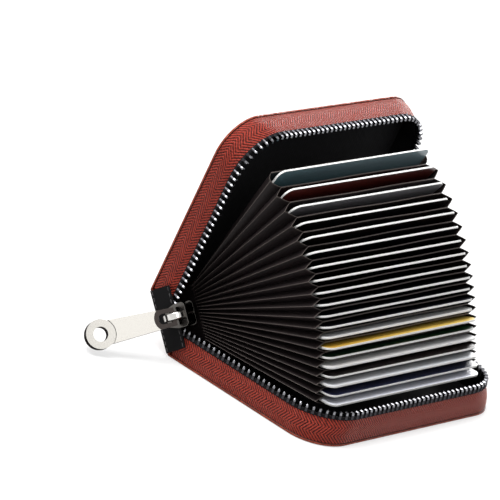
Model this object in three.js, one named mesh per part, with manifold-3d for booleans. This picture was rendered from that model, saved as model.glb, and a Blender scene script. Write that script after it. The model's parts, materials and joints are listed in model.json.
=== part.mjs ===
// Accordion card wallet, open and fanned, lying on its back cover. Millimetres, Z up.
// X runs from the spine to the opening, Y along the spine, origin at the middle of the back cover's outer face.
import * as THREE from "three";
import Module from "manifold-3d";
import { mergeVertices } from "three/addons/utils/BufferGeometryUtils.js";

// Cards
const CARD_COUNT = 20;
const CARD_LENGTH = 85.6;
const CARD_DEPTH = 54;
const CARD_THICK = 0.76;
const CARD_CORNER = 3.18;
// How far each card is slid out of its pocket, lowest card first
const CARD_OUT = [4.6, 4.0, 3.4, 2.7, 2.6, 1.8, 2.8, 1.4, 1.8, 1.2, 2.0, 1.4, 1.8, 1.2, 1.6, 2.0, 1.4, 2.2, 3.0, 4.4];

// Leaves and gussets of the accordion
const LEAF_THICK = 0.2;
const POCKET_PLAY = 0.125;
const POCKET_SIDE_ROOM = 0.8;
// The fan: room left to the two covers, and how much closer together the lower leaves stand
const FAN_LOW_ROOM_DEG = 2.2;
const FAN_TOP_ROOM_DEG = 5;
const FAN_CROWDING = 0.4;
const LEAF_ROOT_GAP = 0.2;
const LEAF_MOUTH_DRAW = 3.6;
const GUSSET_GAP = 0.3;
const GUSSET_DEPTH = 3.6;
const GUSSET_ROOT_BAND = 0.9;
const GUSSET_MOUTH_BAND = 0.45;
const GUSSET_ROOT = 0.6;

// Glued base of the accordion, on the inside of the spine
const BASE_DEPTH = 11.8;
const BASE_GAP = 0.3;
const FOLD_GAP = 0.4;
const CARD_STOP_GAP = 0.6;

// Covers and spine
const LEATHER = 1.0;
const LAYER_GAP = 0.1;
const COVER_LINING = 0.9;
const SPINE_LINING = 0.4;
const COVER_PLAY = 0.05;
const CORNER_RADIUS = 15;
const CREASE_GAP = 0.15;
const LINING_CREASE_ROOM = 1.3;
const HALF_OPEN_DEG = 40;

// Zip
const EDGE_MARGIN = 1.2;
const TAPE_THICK = 0.8;
const TAPE_START = 2.0;
const TOOTH_PITCH = 2.5;
const TOOTH_HALF = 0.9;
const TOOTH_HEIGHT = 2.5;
const TOOTH_NOTCH = 1.5;
const TOOTH_MID_GAP = 0.8;
const CARD_ZIP_ROOM = 4.9;
const ZIP_LINING_GAP = 0.3;

// Slider, bridge and pull tab
const SLIDER_START = 5.5;
const SLIDER_LENGTH = 10;
const SLIDER_FRONT_HALF = 4.5;
const SLIDER_REAR_HALF = 3.2;
const SLIDER_INNER_PLATE = 0.8;
const SLIDER_OUTER_PLATE = 1.1;
const SLIDER_GAP = 0.3;
const SLIDER_INNER_ROOM = 1.9;
const POST_LENGTH = 2;
const POST_HALF = 0.5;
const POST_BITE = 0.2;
const BRIDGE_HALF_LENGTH = 4.25;
const BRIDGE_HEIGHT = 5;
const BRIDGE_BAR = 1.5;
const BRIDGE_HALF_WIDTH = 1.25;
const TAB_LENGTH = 34;
const TAB_ROOT_HALF = 3.3;
const TAB_ARM_HALF = 4.5;
const TAB_RING = 5.4;
const TAB_HOLE = 2.7;
const TAB_ROOT_THICK = 1.3;
const TAB_RING_THICK = 4;
const TAB_EYE_BAR = 0.8;
const TAB_SLOT_END = 5.6;
const TAB_SLOT_HALF = 1.9;
const TAB_OUT_DEG = 56;

// End tabs of the spine
const END_TAB_THICK = 0.6;
const END_TAB_REACH = 8;
const END_TAB_GAP = 0.2;

// Sizes that follow from the ones above
const PITCH = CARD_THICK + LEAF_THICK + POCKET_PLAY;
const COVER_THICK = LEATHER + LAYER_GAP + COVER_LINING;
const THICK = 2 * (COVER_THICK + COVER_PLAY) + CARD_COUNT * PITCH + LEAF_THICK;
const MID = THICK / 2;
const LEAF_HALF = CARD_LENGTH / 2 + POCKET_SIDE_ROOM;
const VALLEY = LEAF_HALF + GUSSET_GAP;
const RIDGE = VALLEY + GUSSET_DEPTH;
const TOOTH_INSET = EDGE_MARGIN + TAPE_THICK / 2;
const TOOTH_LINE = RIDGE + SLIDER_INNER_ROOM + SLIDER_INNER_PLATE + SLIDER_GAP + TOOTH_HALF;
const HALF_LENGTH = TOOTH_LINE + TOOTH_INSET;
const SPINE_THICK = LEATHER + LAYER_GAP + SPINE_LINING;
const BASE_BACK = SPINE_THICK + BASE_GAP;
const FOLD_AT = BASE_BACK + BASE_DEPTH + FOLD_GAP;
const CARD_AT = FOLD_AT + CARD_STOP_GAP;
const WIDTH = CARD_AT + CARD_DEPTH + CARD_ZIP_ROOM + TOOTH_HALF + TOOTH_INSET;
const LEFT = -WIDTH / 2;
const CREASE_X = LEFT + LEATHER;
const LEAF_Z = COVER_THICK + COVER_PLAY + LEAF_THICK / 2;
const TOOTH_TOP = MID - TOOTH_MID_GAP;
const TOOTH_BOTTOM = TOOTH_TOP - TOOTH_HEIGHT;
const HALF_OPEN = THREE.MathUtils.degToRad(HALF_OPEN_DEG);
const FAN_TOP_DEG = 2 * HALF_OPEN_DEG - FAN_TOP_ROOM_DEG;
const ALONG_Y = new THREE.Vector3(0, 1, 0);
const ALONG_Z = new THREE.Vector3(0, 0, 1);

const wasm = await Module();
wasm.setup();
const wallet = new THREE.Group();

function add(parent, name, geometry, color) {
  const mesh = new THREE.Mesh(geometry, new THREE.MeshStandardMaterial({ color }));
  mesh.name = name;
  parent.add(mesh);
}

// A group turned about a line through a point, whose children still use the closed wallet's coordinates
function turned(parent, x, y, z, axis, angle) {
  const pivot = new THREE.Group();
  pivot.position.set(x, y, z);
  pivot.rotateOnAxis(axis, angle);
  const inside = new THREE.Group();
  inside.position.set(-x, -y, -z);
  pivot.add(inside);
  parent.add(pivot);
  return inside;
}

function slab(x0, x1, y0, y1, z0, z1) {
  const box = new THREE.BoxGeometry(x1 - x0, y1 - y0, z1 - z0);
  return box.translate((x0 + x1) / 2, (y0 + y1) / 2, (z0 + z1) / 2);
}

function plate(shape, z0, z1) {
  const options = { depth: z1 - z0, bevelEnabled: false, curveSegments: 8 };
  return new THREE.ExtrudeGeometry(shape, options).translate(0, 0, z0);
}

// Points along the three zip sides of a cover, at a distance inside its outline
function rimPoints(inset, x0) {
  const right = WIDTH / 2 - inset;
  const side = HALF_LENGTH - inset;
  const radius = CORNER_RADIUS - inset;
  const path = new THREE.Path();
  path.moveTo(x0, -side);
  path.lineTo(right - radius, -side);
  path.absarc(right - radius, -side + radius, radius, -Math.PI / 2, 0);
  path.lineTo(right, side - radius);
  path.absarc(right - radius, side - radius, radius, 0, Math.PI / 2);
  path.lineTo(x0, side);
  return path;
}

function coverShape(inset, x0) {
  return new THREE.Shape(rimPoints(inset, x0).getPoints(8));
}

function rimShape(inset, thick, x0) {
  const outer = rimPoints(inset, x0).getPoints(8);
  const inner = rimPoints(inset + thick, x0).getPoints(8);
  return new THREE.Shape([...outer, ...inner.reverse()]);
}

// A closed solid lofted through rings of four points. Opposite walls are split along the same diagonal,
// so that a thin twisted wall keeps its thickness.
function loft(rings) {
  const points = rings.flat();
  const faces = [];
  const quad = (a, b, c, d) => faces.push(a, b, c, a, c, d);
  rings.slice(1).forEach((ring, n) => {
    const here = 4 * n;
    const ahead = here + 4;
    quad(here, here + 1, ahead + 1, ahead);
    quad(here + 1, here + 2, ahead + 2, ahead + 1);
    quad(here + 3, ahead + 3, ahead + 2, here + 2);
    quad(here, ahead, ahead + 3, here + 3);
  });
  const last = points.length - 4;
  quad(3, 2, 1, 0);
  quad(last, last + 1, last + 2, last + 3);
  let volume = 0;
  for (let n = 0; n < faces.length; n += 3) {
    const cross = new THREE.Vector3().crossVectors(points[faces[n + 1]], points[faces[n + 2]]);
    volume += points[faces[n]].dot(cross);
  }
  const geometry = new THREE.BufferGeometry().setFromPoints(points);
  return geometry.setIndex(volume < 0 ? faces.reverse() : faces);
}

// A row of zip teeth: a strip along the rim with a saw-shaped upper edge
function toothRow(height) {
  const path = rimPoints(TOOTH_INSET, LEFT + TAPE_START);
  const steps = 2 * Math.floor(path.getLength() / TOOTH_PITCH);
  const rings = [];
  for (let n = 0; n <= steps; n++) {
    const at = path.getPointAt(n / steps);
    const along = path.getTangentAt(n / steps);
    const top = n % 2 ? TOOTH_TOP : TOOTH_TOP - TOOTH_NOTCH;
    const dx = along.y * TOOTH_HALF;
    const dy = -along.x * TOOTH_HALF;
    rings.push([
      new THREE.Vector3(at.x - dx, at.y - dy, height(TOOTH_BOTTOM)),
      new THREE.Vector3(at.x + dx, at.y + dy, height(TOOTH_BOTTOM)),
      new THREE.Vector3(at.x + dx, at.y + dy, height(top)),
      new THREE.Vector3(at.x - dx, at.y - dy, height(top)),
    ]);
  }
  return loft(rings);
}

// One cover: leather, lined board, zip tape wall and teeth. The height function turns it over for the front.
function cover(parent, name, height) {
  const between = (shape, a, b) => {
    const ends = [height(a), height(b)].sort((p, q) => p - q);
    return plate(shape, ends[0], ends[1]);
  };
  const lining0 = LEATHER + LAYER_GAP;
  const lining_edge = EDGE_MARGIN + TAPE_THICK + ZIP_LINING_GAP;
  const leather = coverShape(0, CREASE_X + CREASE_GAP);
  const lining = coverShape(lining_edge, CREASE_X + LINING_CREASE_ROOM);
  const tape = rimShape(EDGE_MARGIN, TAPE_THICK, LEFT + TAPE_START);
  add(parent, name + "_leather", between(leather, 0, LEATHER), 0x9c3f25);
  add(parent, name + "_lining", between(lining, lining0, COVER_THICK), 0x17171a);
  add(parent, name + "_zip_tape", between(tape, lining0, TOOTH_BOTTOM - LAYER_GAP), 0xa8402c);
  add(parent, name + "_zip_teeth", toothRow(height), 0x3a3a3d);
}

function leafName(i) {
  return "leaf_" + String(i).padStart(2, "0");
}

function cardShape(x0) {
  const x1 = x0 + CARD_DEPTH;
  const y1 = CARD_LENGTH / 2;
  const r = CARD_CORNER;
  const shape = new THREE.Shape();
  shape.absarc(x1 - r, -y1 + r, r, -Math.PI / 2, 0);
  shape.absarc(x1 - r, y1 - r, r, 0, Math.PI / 2);
  shape.absarc(x0 + r, y1 - r, r, Math.PI / 2, Math.PI);
  shape.absarc(x0 + r, -y1 + r, r, Math.PI, Math.PI * 1.5);
  return new THREE.Shape(shape.getPoints(4));
}

// A point of the closed wallet's X-Z plane after a turn about a crease
function swung(x, z, pivotX, pivotZ, angle) {
  const dx = x - pivotX;
  const dz = z - pivotZ;
  const cos = Math.cos(angle);
  const sin = Math.sin(angle);
  return { x: pivotX + dx * cos + dz * sin, z: pivotZ - dx * sin + dz * cos };
}

// Turn of a leaf from the middle of the spine. Its lift is its angle above the back cover.
function leafAngle(i) {
  const share = i / CARD_COUNT;
  const spread = THREE.MathUtils.lerp(share, share ** 3, FAN_CROWDING);
  const lift = THREE.MathUtils.lerp(FAN_LOW_ROOM_DEG, FAN_TOP_DEG, spread);
  return THREE.MathUtils.degToRad(HALF_OPEN_DEG - lift);
}

// One folded gusset: a ridge at the level of each card, valleys half a step off, its two ends at the cover linings.
// The valleys draw in towards the mouth with the leaves, so the ends of the cards stand in the folds.
function gusset(side) {
  const pivotX = LEFT + FOLD_AT;
  const valleys = [];
  const coverLine = (z, creaseZ, angle) => ({
    root: swung(pivotX, z, CREASE_X, creaseZ, angle),
    mouth: swung(pivotX + CARD_DEPTH, z, CREASE_X, creaseZ, angle),
  });
  valleys.push(coverLine(COVER_THICK + GUSSET_GAP, LEATHER, HALF_OPEN));
  for (let i = 0; i <= CARD_COUNT; i++) {
    const z = LEAF_Z + i * PITCH;
    const angle = leafAngle(i - 0.5);
    valleys.push({
      root: swung(pivotX + GUSSET_ROOT, z, pivotX, z, angle),
      mouth: swung(pivotX + CARD_DEPTH, z, pivotX, z, angle),
    });
  }
  valleys.push(coverLine(THICK - COVER_THICK - GUSSET_GAP, THICK - LEATHER, -HALF_OPEN));
  const ring = (root, mouth, y, mouth_y) => [
    new THREE.Vector3(root.x, side * y, root.z),
    new THREE.Vector3(mouth.x, side * mouth_y, mouth.z),
    new THREE.Vector3(mouth.x, side * (mouth_y + GUSSET_MOUTH_BAND), mouth.z),
    new THREE.Vector3(root.x, side * (y + GUSSET_ROOT_BAND), root.z),
  ];
  const middle = (a, b) => ({ x: (a.x + b.x) / 2, z: (a.z + b.z) / 2 });
  const rings = [];
  valleys.forEach((line, n) => {
    rings.push(ring(line.root, line.mouth, VALLEY, VALLEY - LEAF_MOUTH_DRAW));
    const next = valleys[n + 1];
    if (next) {
      const ridge = RIDGE - GUSSET_ROOT_BAND;
      rings.push(ring(middle(line.root, next.root), middle(line.mouth, next.mouth), ridge, ridge));
    }
  });
  return loft(rings);
}

// Slider plates stand on both sides of the near zip side, joined by the post at the front end
const TAB_OUTER = HALF_LENGTH + LAYER_GAP;
const OUTER_PLATE_IN = -TAB_OUTER - FOLD_GAP;
const OUTER_PLATE_OUT = OUTER_PLATE_IN - SLIDER_OUTER_PLATE;
const INNER_PLATE_OUT = -HALF_LENGTH + TOOTH_INSET + TOOTH_HALF + SLIDER_GAP;
const INNER_PLATE_IN = INNER_PLATE_OUT + SLIDER_INNER_PLATE;
const SLIDER_MID_X = LEFT + SLIDER_START + SLIDER_LENGTH / 2;
const TAB_AXIS_Y = OUTER_PLATE_OUT - (BRIDGE_HEIGHT - BRIDGE_BAR) / 2;

function sliderPlate(y0, y1) {
  const rear = SLIDER_MID_X - SLIDER_LENGTH / 2;
  const front = SLIDER_MID_X + SLIDER_LENGTH / 2;
  const shape = new THREE.Shape();
  shape.moveTo(rear, -SLIDER_REAR_HALF);
  shape.lineTo(SLIDER_MID_X, -SLIDER_FRONT_HALF);
  shape.lineTo(front - SLIDER_FRONT_HALF / 4, -SLIDER_FRONT_HALF);
  shape.lineTo(front, -SLIDER_REAR_HALF);
  shape.lineTo(front, SLIDER_REAR_HALF);
  shape.lineTo(front - SLIDER_FRONT_HALF / 4, SLIDER_FRONT_HALF);
  shape.lineTo(SLIDER_MID_X, SLIDER_FRONT_HALF);
  shape.lineTo(rear, SLIDER_REAR_HALF);
  return plate(shape, -y1, -y0).rotateX(Math.PI / 2).translate(0, 0, MID);
}

function solidOf(geometry) {
  const bare = new THREE.BufferGeometry().setAttribute("position", geometry.getAttribute("position"));
  const merged = mergeVertices(bare.setIndex(geometry.getIndex()), 1e-4);
  const triVerts = new Uint32Array(merged.index.array);
  const vertProperties = merged.attributes.position.array;
  return new wasm.Manifold(new wasm.Mesh({ numProp: 3, vertProperties, triVerts }));
}

function joined(geometries) {
  const mesh = wasm.Manifold.union(geometries.map(solidOf)).getMesh();
  const geometry = new THREE.BufferGeometry();
  geometry.setAttribute("position", new THREE.BufferAttribute(mesh.vertProperties, 3));
  return geometry.setIndex(new THREE.BufferAttribute(mesh.triVerts, 1));
}

function bridge() {
  const half = BRIDGE_HALF_LENGTH;
  const foot = OUTER_PLATE_OUT - LAYER_GAP;
  const top = OUTER_PLATE_OUT - BRIDGE_HEIGHT;
  const round = BRIDGE_BAR * 0.7;
  const shape = new THREE.Shape();
  shape.moveTo(-half, foot);
  shape.lineTo(-half, top + round);
  shape.quadraticCurveTo(-half, top, -half + round, top);
  shape.lineTo(half - round, top);
  shape.quadraticCurveTo(half, top, half, top + round);
  shape.lineTo(half, foot);
  shape.lineTo(half - BRIDGE_BAR, foot);
  shape.lineTo(half - BRIDGE_BAR, top + BRIDGE_BAR);
  shape.lineTo(-half + BRIDGE_BAR, top + BRIDGE_BAR);
  shape.lineTo(-half + BRIDGE_BAR, foot);
  return plate(shape, MID - BRIDGE_HALF_WIDTH, MID + BRIDGE_HALF_WIDTH).translate(SLIDER_MID_X, 0, 0);
}

// Pull tab drawn along its length, then thinned towards the slider and laid back along the spine's depth
function pullTab() {
  const ring_at = TAB_LENGTH - TAB_EYE_BAR - TAB_RING;
  const meet = Math.asin(TAB_ARM_HALF / TAB_RING);
  const shape = new THREE.Shape();
  shape.moveTo(-TAB_EYE_BAR, TAB_ROOT_HALF);
  shape.lineTo(-TAB_EYE_BAR, -TAB_ROOT_HALF);
  shape.absarc(ring_at, 0, TAB_RING, -Math.PI + meet, Math.PI - meet);
  const hole = new THREE.Path();
  hole.absarc(ring_at, 0, TAB_HOLE, 0, Math.PI * 2);
  const slot = new THREE.Path();
  slot.moveTo(TAB_EYE_BAR, -TAB_SLOT_HALF);
  slot.lineTo(TAB_SLOT_END, -TAB_SLOT_HALF);
  slot.lineTo(TAB_SLOT_END, TAB_SLOT_HALF);
  slot.lineTo(TAB_EYE_BAR, TAB_SLOT_HALF);
  shape.holes.push(hole, slot);
  const geometry = plate(shape, -0.5, 0.5);
  const position = geometry.getAttribute("position");
  for (let n = 0; n < position.count; n++) {
    const along = position.getX(n);
    const share = THREE.MathUtils.clamp(along / ring_at, 0, 1);
    const thick = THREE.MathUtils.lerp(TAB_ROOT_THICK, TAB_RING_THICK, share);
    position.setXYZ(n, SLIDER_MID_X - along, TAB_AXIS_Y + position.getZ(n) * thick, MID + position.getY(n));
  }
  return geometry;
}

// Back cover, lying flat
cover(wallet, "back", (z) => z);

// Spine, folded outward from the back cover
const spine = turned(wallet, CREASE_X, 0, LEATHER, ALONG_Y, -HALF_OPEN);
const spine_z = LEATHER + CREASE_GAP;
add(spine, "spine_leather", slab(LEFT, LEFT + LEATHER, -HALF_LENGTH, HALF_LENGTH, spine_z, THICK - spine_z), 0x9c3f25);
const lining_x = LEFT + LEATHER + LAYER_GAP;
const lining_y = HALF_LENGTH - EDGE_MARGIN;
const lining_z = LEATHER + LINING_CREASE_ROOM;
const spine_lining = slab(lining_x, lining_x + SPINE_LINING, -lining_y, lining_y, lining_z, THICK - lining_z);
add(spine, "spine_lining", spine_lining, 0x17171a);

// End tabs close the two ends of the spine
const tab_in = HALF_LENGTH - TOOTH_INSET + TOOTH_HALF + END_TAB_GAP;
const tab_x = LEFT + BASE_BACK;
const tab_z = LEATHER + BASE_GAP;
for (const [name, side] of [["near_end_tab", -1], ["far_end_tab", 1]]) {
  const ends = [side * tab_in, side * (tab_in + END_TAB_THICK)].sort((a, b) => a - b);
  add(spine, name, slab(tab_x, tab_x + END_TAB_REACH, ends[0], ends[1], tab_z, THICK - tab_z), 0x1b1b1e);
}

// Glued base of the accordion and the gussets at its ends
const base_x = LEFT + BASE_BACK;
const base_z = COVER_THICK + BASE_GAP;
add(spine, "pocket_base", slab(base_x, base_x + BASE_DEPTH, -LEAF_HALF, LEAF_HALF, base_z, THICK - base_z), 0x141416);
add(spine, "near_gusset", gusset(-1), 0x1c1a1a);
add(spine, "far_gusset", gusset(1), 0x1c1a1a);

// Outline of a leaf, narrower at the mouth of its pocket
function leafShape(x0, x1) {
  const mouth = LEAF_HALF - LEAF_MOUTH_DRAW;
  const shape = new THREE.Shape();
  shape.moveTo(x0, -LEAF_HALF);
  shape.lineTo(x1, -mouth);
  shape.lineTo(x1, mouth);
  shape.lineTo(x0, LEAF_HALF);
  return shape;
}

// Leaves fan out from the base, and each carries the card of the pocket above it
for (let i = 0; i <= CARD_COUNT; i++) {
  const z = LEAF_Z + i * PITCH;
  const fold_x = LEFT + FOLD_AT;
  const leaf = turned(spine, fold_x, 0, z, ALONG_Y, leafAngle(i));
  const half = LEAF_THICK / 2;
  const leaf_outline = leafShape(fold_x + LEAF_ROOT_GAP, fold_x + CARD_DEPTH);
  add(leaf, leafName(i), plate(leaf_outline, z - half, z + half), 0x1c1a1a);
  if (i < CARD_COUNT) {
    const card_z = z + half + POCKET_PLAY / 2;
    const card = plate(cardShape(LEFT + CARD_AT + CARD_OUT[i]), card_z, card_z + CARD_THICK);
    add(leaf, "card_" + String(i + 1).padStart(2, "0"), card, 0xe8e8e6);
  }
}

// Front cover, folded outward from the spine
const front = turned(spine, CREASE_X, 0, THICK - LEATHER, ALONG_Y, -HALF_OPEN);
cover(front, "front", (z) => THICK - z);

// Zip slider parked at the near end of the spine, with its bridge and pull tab
const post_x = SLIDER_MID_X + SLIDER_LENGTH / 2 - POST_BITE - POST_LENGTH;
const post_y0 = OUTER_PLATE_IN - POST_BITE;
const post_y1 = INNER_PLATE_OUT + POST_BITE;
const slider = joined([
  sliderPlate(OUTER_PLATE_OUT, OUTER_PLATE_IN),
  sliderPlate(INNER_PLATE_OUT, INNER_PLATE_IN),
  slab(post_x, post_x + POST_LENGTH, post_y0, post_y1, MID - POST_HALF, MID + POST_HALF),
]);
add(spine, "slider_body", slider, 0x9a9a9e);
add(spine, "slider_bridge", bridge(), 0xa4a4a8);
const pull = turned(spine, SLIDER_MID_X, TAB_AXIS_Y, MID, ALONG_Z, THREE.MathUtils.degToRad(TAB_OUT_DEG));
add(pull, "pull_tab", pullTab(), 0xb4b4b8);

export default wallet;
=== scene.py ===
import json
import math

import bmesh
import bpy
from mathutils import Matrix, Vector


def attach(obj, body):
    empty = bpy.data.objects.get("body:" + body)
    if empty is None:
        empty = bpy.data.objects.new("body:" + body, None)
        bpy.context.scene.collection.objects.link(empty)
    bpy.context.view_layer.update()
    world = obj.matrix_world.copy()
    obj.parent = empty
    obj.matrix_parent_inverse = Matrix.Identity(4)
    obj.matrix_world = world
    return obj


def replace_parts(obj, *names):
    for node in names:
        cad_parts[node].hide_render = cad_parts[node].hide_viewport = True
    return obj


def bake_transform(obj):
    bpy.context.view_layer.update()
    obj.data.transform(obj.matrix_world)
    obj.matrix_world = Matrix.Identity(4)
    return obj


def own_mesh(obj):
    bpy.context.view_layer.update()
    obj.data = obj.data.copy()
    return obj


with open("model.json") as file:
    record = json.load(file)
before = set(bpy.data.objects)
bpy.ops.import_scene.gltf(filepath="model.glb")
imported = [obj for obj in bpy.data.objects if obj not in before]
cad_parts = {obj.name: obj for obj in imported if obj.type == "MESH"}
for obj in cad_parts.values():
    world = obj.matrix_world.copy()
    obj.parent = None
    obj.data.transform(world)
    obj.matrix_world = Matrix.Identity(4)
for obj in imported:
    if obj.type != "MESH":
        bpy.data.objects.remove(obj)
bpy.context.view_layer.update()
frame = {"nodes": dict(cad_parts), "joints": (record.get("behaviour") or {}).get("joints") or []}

# Accordion card wallet, open and fanned. Pieces are modelled in millimetres in the closed wallet's own
# places, then turned to where they rest and brought to metres.
TO_METRES = Matrix.Scale(0.001, 4)

# Covers and spine
WIDTH = 76.0
HALF_LENGTH = 53.0
THICK = 26.0
LEATHER = 1.0
CORNER = 15.0
LEFT = -WIDTH / 2
CREASE_X = LEFT + LEATHER
PANEL_GAP = 0.15
PANEL_X = CREASE_X + PANEL_GAP
HALF_OPEN = -frame["joints"][0]["range_deg"][0]
EDGE_ROUND = 0.36
CREASE_THICK = 0.99
CREASE_ROUND = 0.3
LINING_X = CREASE_X + 1.3
LINING_LOW = 1.1
LINING_TOP = 2.0
LINING_INSET = 2.3
LINING_ROUND = 0.35
SPINE_LINING_X = (CREASE_X + 0.1, CREASE_X + 0.5)
SPINE_LINING_END = 1.2
SPINE_LINING_SIDE = 2.3
SPINE_LINING_ROUND = 0.12

# Seams. A stitch is given by its half sizes, and its slant is in radians.
STITCH = (1.25, 0.3, 0.17)
STITCH_INSET = 3.9
STITCH_PITCH = 3.1
STITCH_SLANT = 0.09
STITCH_Z = 0.18
CHANNEL = 1.0
CHANNEL_DEPTH = 0.3

# Webbing tabs at the spine's ends
WEBBING_X = (LEFT + 0.1, -28.2)
WEBBING_LAP = (0.03, 0.45)
WEBBING_SIDE = 1.3
WEBBING_ROUND = 0.15
WEBBING_STITCH = (0.2, 0.14, 0.85)
WEBBING_STITCHES = 10
WEBBING_SEAM = 0.9
WEBBING_SEAM_START = 2.6
WEBBING_SEAM_PITCH = 2.31

# Zip. The tape's lean is a power of its height, and the first tooth starts at a share of the pitch.
TAPE_X = LEFT + 2.0
TAPE_INSET = 1.6
TAPE_FOOT_INSET = 0.75
TAPE_THICK = 0.8
TAPE_LOW = 1.1
TAPE_TOP = 9.7
TAPE_BULGE = 0.3
TAPE_LEAN = 1.5
BEAD_LOW = TAPE_TOP - 0.5
BEAD_TOP = TAPE_TOP + 0.9
BEAD_THICK = 1.1
BEAD_ROUND = 0.3
BAND_STEPS = (150, 6)
TOOTH_PITCH = 2.5
TOOTH_START = 0.75
TOOTH_SIZE = (1.3, 2.2, 3.0)
TOOTH_TAPER = (0.72, 0.8, 1)
TOOTH_ROUND = 0.36
TOOTH_HIGHLIGHT_DEPTH = 1.1
TOOTH_TOP = 12.6
TEETH_CORNER = 19.1

# Accordion. The fan's rooms are in degrees. Its crowding, the hem's start and the flat leaf are shares, and
# the bows are powers.
CARDS = 20
FOLD_X = -24.0
LEAF_Z = 2.15
PITCH = 1.085
FAN_LOW_ROOM = 2.2
FAN_TOP_ROOM = 5.0
FAN_CROWDING = 0.4
LEAF_LENGTH = 54.0
LEAF_ROOT = 0.3
LEAF_HALF = 43.6
LEAF_MOUTH_HALF = 41.2
LEAF_SHEET = 0.1
LEAF_STEPS = (10, 16)
SAG_EASE = 4.0
WAVE = 0.2
WAVE_TURN = 0.09
WAVE_SHIFT = 1.7
HEM = 0.6
HEM_FROM = 0.9
HEM_HALF = 0.2
RIDGE = 46.8
RIDGE_DRAW = 0.8
TOP_RIDGE = 45.2
FOLD_BOW = 1.15
TOP_BOW = 1.9
PLEAT_STEPS = 12
PLEAT_ACROSS = (0, 0.13, 0.3, 0.46, 0.5, 0.54, 0.7, 0.87, 1)
BASE = ((-36.2, -43.6, 2.3), (-24.4, 43.6, 23.7))
BASE_ROUND = 0.4

# Cards
CARD_LENGTH = 85.6
CARD_DEPTH = 54.0
CARD_CORNER = 3.18
CARD_LOW = 0.1625
CARD_TOP = 0.9225
CARD_ROUND = 0.09

# Slider, modelled about its own middle along and across the zip
SLIDER_X = -27.5
MID = THICK / 2
PLATES = ((-54.6, -53.5), (-50.2, -49.4))
PLATE_HALF_LENGTH = 5.0
PLATE_HALF_WIDTH = 4.5
PLATE_TAPER = 0.7
PLATE_NOSE = 1.6
PLATE_ROUND = 0.25
POST = ((2.8, -53.8, -0.36), (4.8, -49.9, 0.36))
POST_ROUND = 0.15
HOOK_Y = -55.2
HOOK_FOOT_Y = -54.4
HOOK_RADII = (3.5, 3.7)
HOOK_WIDTH = 2.4
HOOK_THICK = 1.4
HOOK_ROUND = 0.4

# Pull tab, modelled along X from the hook
TAB_AXIS_Y = -56.35
TAB_OUT = 56.0
TAB_ROUND = 0.2
ARM_ROOT = -0.8
ARM_WIDTH = 6.6
ARM_WIDENS = 2.4
ARM_THICK = 1.7
ARM_THICKENS = 1.5
RING_AT = 27.8
RING = 5.4
RING_HOLE = 2.7
RING_THICK = 4.0
GROOVE = 0.45
GROOVE_FLOOR = 1.0
EYE_AT = 2.6
EYE_RECESS = 4.7
EYE_THICK = 1.3
EYE_SLOT = ((0.8, -1.9, -3), (5.6, 1.9, 3))
EYE_SLOT_ROUND = 1.7
CUTTER = 2.0

# Camera and light: places in metres, the lens in millimetres and the lamps in watts
CAMERA_AT = (0.88867, -1.29155, 0.65442)
CAMERA_SHIFT = (0.00025, 0.0008)
CAMERA_RIGHT = (0.71186, 0.64955, 0.2671)
CAMERA_BACK = (0.54894, -0.75181, 0.36531)
CAMERA_LENS = 334.8
CAMERA_SENSOR = 36
CAMERA_REACH = 20
FLOOR_SIZE = 6
FLOOR_Z = -0.0002
FLOOR_GLOW = 0.62
HORIZON_GLOW = 0.12
ZENITH_GLOW = 0.7
KEY = {"place": (-0.3, -0.3, 1.1), "target": (0, 0, 0.04), "size": 0.7, "power": 15.5}
REAR = {"place": (-0.38, 1.05, 0.36), "target": (-0.03, 0, 0.07), "size": 0.6, "power": 9}
FRONT_FILL = {"place": (0.85, -0.47, 0.9), "target": (-0.04, -0.06, 0.05), "size": 0.26, "power": 0.95}


def turned(point, degrees, axis="Y"):
    """A turn about a line through a point, opening upward for a positive angle about Y."""
    at = Matrix.Translation(point)
    sign = -1 if axis == "Y" else 1
    return at @ Matrix.Rotation(sign * math.radians(degrees), 4, axis) @ at.inverted()


BACK = Matrix.Identity(4)
SPINE = turned((CREASE_X, 0, LEATHER), HALF_OPEN)
TURN_OVER = Matrix.Translation((0, 0, THICK)) @ Matrix.Rotation(math.pi, 4, "X")
FRONT = SPINE @ turned((CREASE_X, 0, THICK - LEATHER), HALF_OPEN) @ TURN_OVER
COVERS = (("back", BACK, "back_cover"), ("front", FRONT, "front_cover"))
SLIDER = SPINE @ Matrix.Translation((SLIDER_X, 0, MID))


def leaf_turn(i):
    """Degrees that leaf i is turned from square to the spine. The lower leaves stand closer together."""
    share = i / CARDS
    spread = share + (share ** 3 - share) * FAN_CROWDING
    return FAN_LOW_ROOM + (2 * HALF_OPEN - FAN_TOP_ROOM - FAN_LOW_ROOM) * spread - HALF_OPEN


def leaf_frame(i):
    """Where leaf i rests, with the fold line at the origin."""
    fold = (FOLD_X, 0, LEAF_Z + i * PITCH)
    return SPINE @ turned(fold, leaf_turn(i)) @ Matrix.Translation(fold)


# Modelling steps

def alone(piece):
    bpy.ops.object.select_all(action="DESELECT")
    piece.select_set(True)
    bpy.context.view_layer.objects.active = piece


def added(name):
    """Names the primitive just added and puts its place into its mesh."""
    piece = bpy.context.object
    piece.name = name
    piece.data.name = name
    bpy.ops.object.transform_apply(location=True, rotation=True, scale=True)
    return piece


def block(name, low, high):
    bpy.ops.object.select_all(action="DESELECT")
    low, high = Vector(low), Vector(high)
    bpy.ops.mesh.primitive_cube_add(size=1, location=(low + high) / 2, scale=high - low)
    return added(name)


def cylinder(name, sides, radius, depth, location):
    bpy.ops.object.select_all(action="DESELECT")
    bpy.ops.mesh.primitive_cylinder_add(vertices=sides, radius=radius, depth=depth, location=location)
    return added(name)


def stitch(half_sizes):
    """One stitch, a slim bead of thread."""
    bpy.ops.object.select_all(action="DESELECT")
    bpy.ops.mesh.primitive_ico_sphere_add(subdivisions=2, radius=1, scale=half_sizes)
    return added("stitch")


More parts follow.
